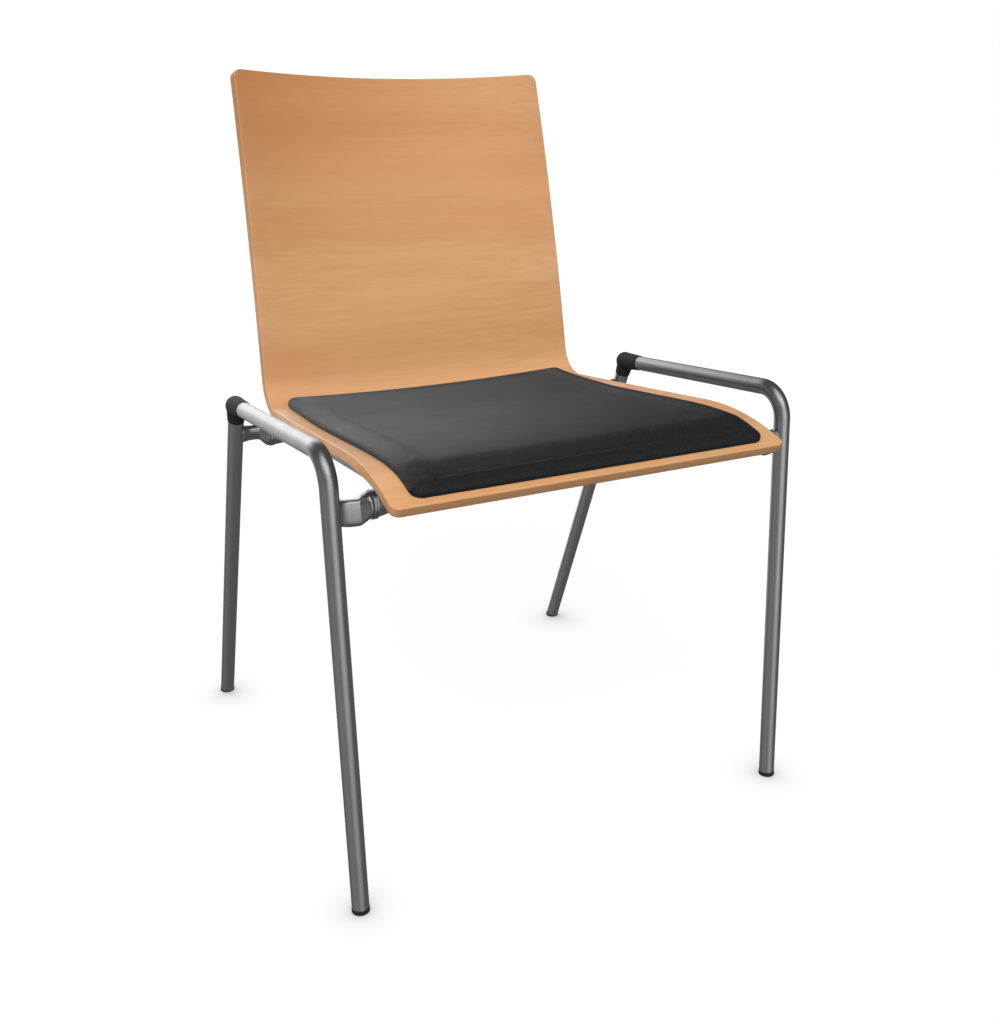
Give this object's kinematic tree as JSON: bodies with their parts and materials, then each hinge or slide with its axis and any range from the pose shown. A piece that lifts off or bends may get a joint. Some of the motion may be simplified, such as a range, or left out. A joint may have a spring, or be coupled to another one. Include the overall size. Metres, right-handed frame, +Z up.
{
  "type": "tubular steel chair",
  "caption": "Rigid stacking chair: moulded plywood seat and back shell with an upholstered seat pad, on bent steel tube side frames with plastic elbows and glides.",
  "frame": {"origin": "on the floor, under the middle of the chair's bounding box", "axes": "+X to the chair's right side as seen from the front, +Y from the front to the back, +Z up; the sitter faces -Y"},
  "size_m": [0.579, 0.5772, 0.8487],
  "materials": {
    "beech_plywood": "clear satin lacquer over moulded beech veneer",
    "black_leather": "black, fine grain, satin",
    "pad_board": "plain board",
    "satin_steel": "satin plated tube",
    "cast_metal": "satin casting",
    "zinc_steel": "zinc plated",
    "black_plastic": "matt black moulding"
  },
  "bodies": {
    "root": {"arm_front_left": "cast_metal", "arm_front_right": "cast_metal", "arm_rear_left": "cast_metal", "arm_rear_right": "cast_metal", "collar_front_left": "cast_metal", "collar_front_right": "cast_metal", "collar_rear_left": "cast_metal", "collar_rear_right": "cast_metal", "cross_tube_front": "satin_steel", "cross_tube_rear": "satin_steel", "elbow_core_left": "zinc_steel", "elbow_core_right": "zinc_steel", "elbow_left": "black_plastic", "elbow_right": "black_plastic", "glide_front_left": "black_plastic", "glide_front_right": "black_plastic", "glide_rear_left": "black_plastic", "glide_rear_right": "black_plastic", "pad_board": "pad_board", "pad_screw_front_left": "zinc_steel", "pad_screw_front_right": "zinc_steel", "pad_screw_rear_left": "zinc_steel", "pad_screw_rear_right": "zinc_steel", "rear_leg_left": "satin_steel", "rear_leg_right": "satin_steel", "seat_pad": "black_leather", "seat_rail_left": "satin_steel", "seat_rail_right": "satin_steel", "seat_shell": "beech_plywood", "shell_insert_front_left": "zinc_steel", "shell_insert_front_right": "zinc_steel", "shell_insert_rear_left": "zinc_steel", "shell_insert_rear_right": "zinc_steel", "shell_screw_front_left": "zinc_steel", "shell_screw_front_right": "zinc_steel", "shell_screw_rear_left": "zinc_steel", "shell_screw_rear_right": "zinc_steel", "side_frame_left": "satin_steel", "side_frame_right": "satin_steel", "socket_front_left": "cast_metal", "socket_front_right": "cast_metal", "socket_rear_left": "cast_metal", "socket_rear_right": "cast_metal", "spacer_front_left": "black_plastic", "spacer_front_right": "black_plastic", "spacer_rear_left": "black_plastic", "spacer_rear_right": "black_plastic"}
  },
  "joints": []
}
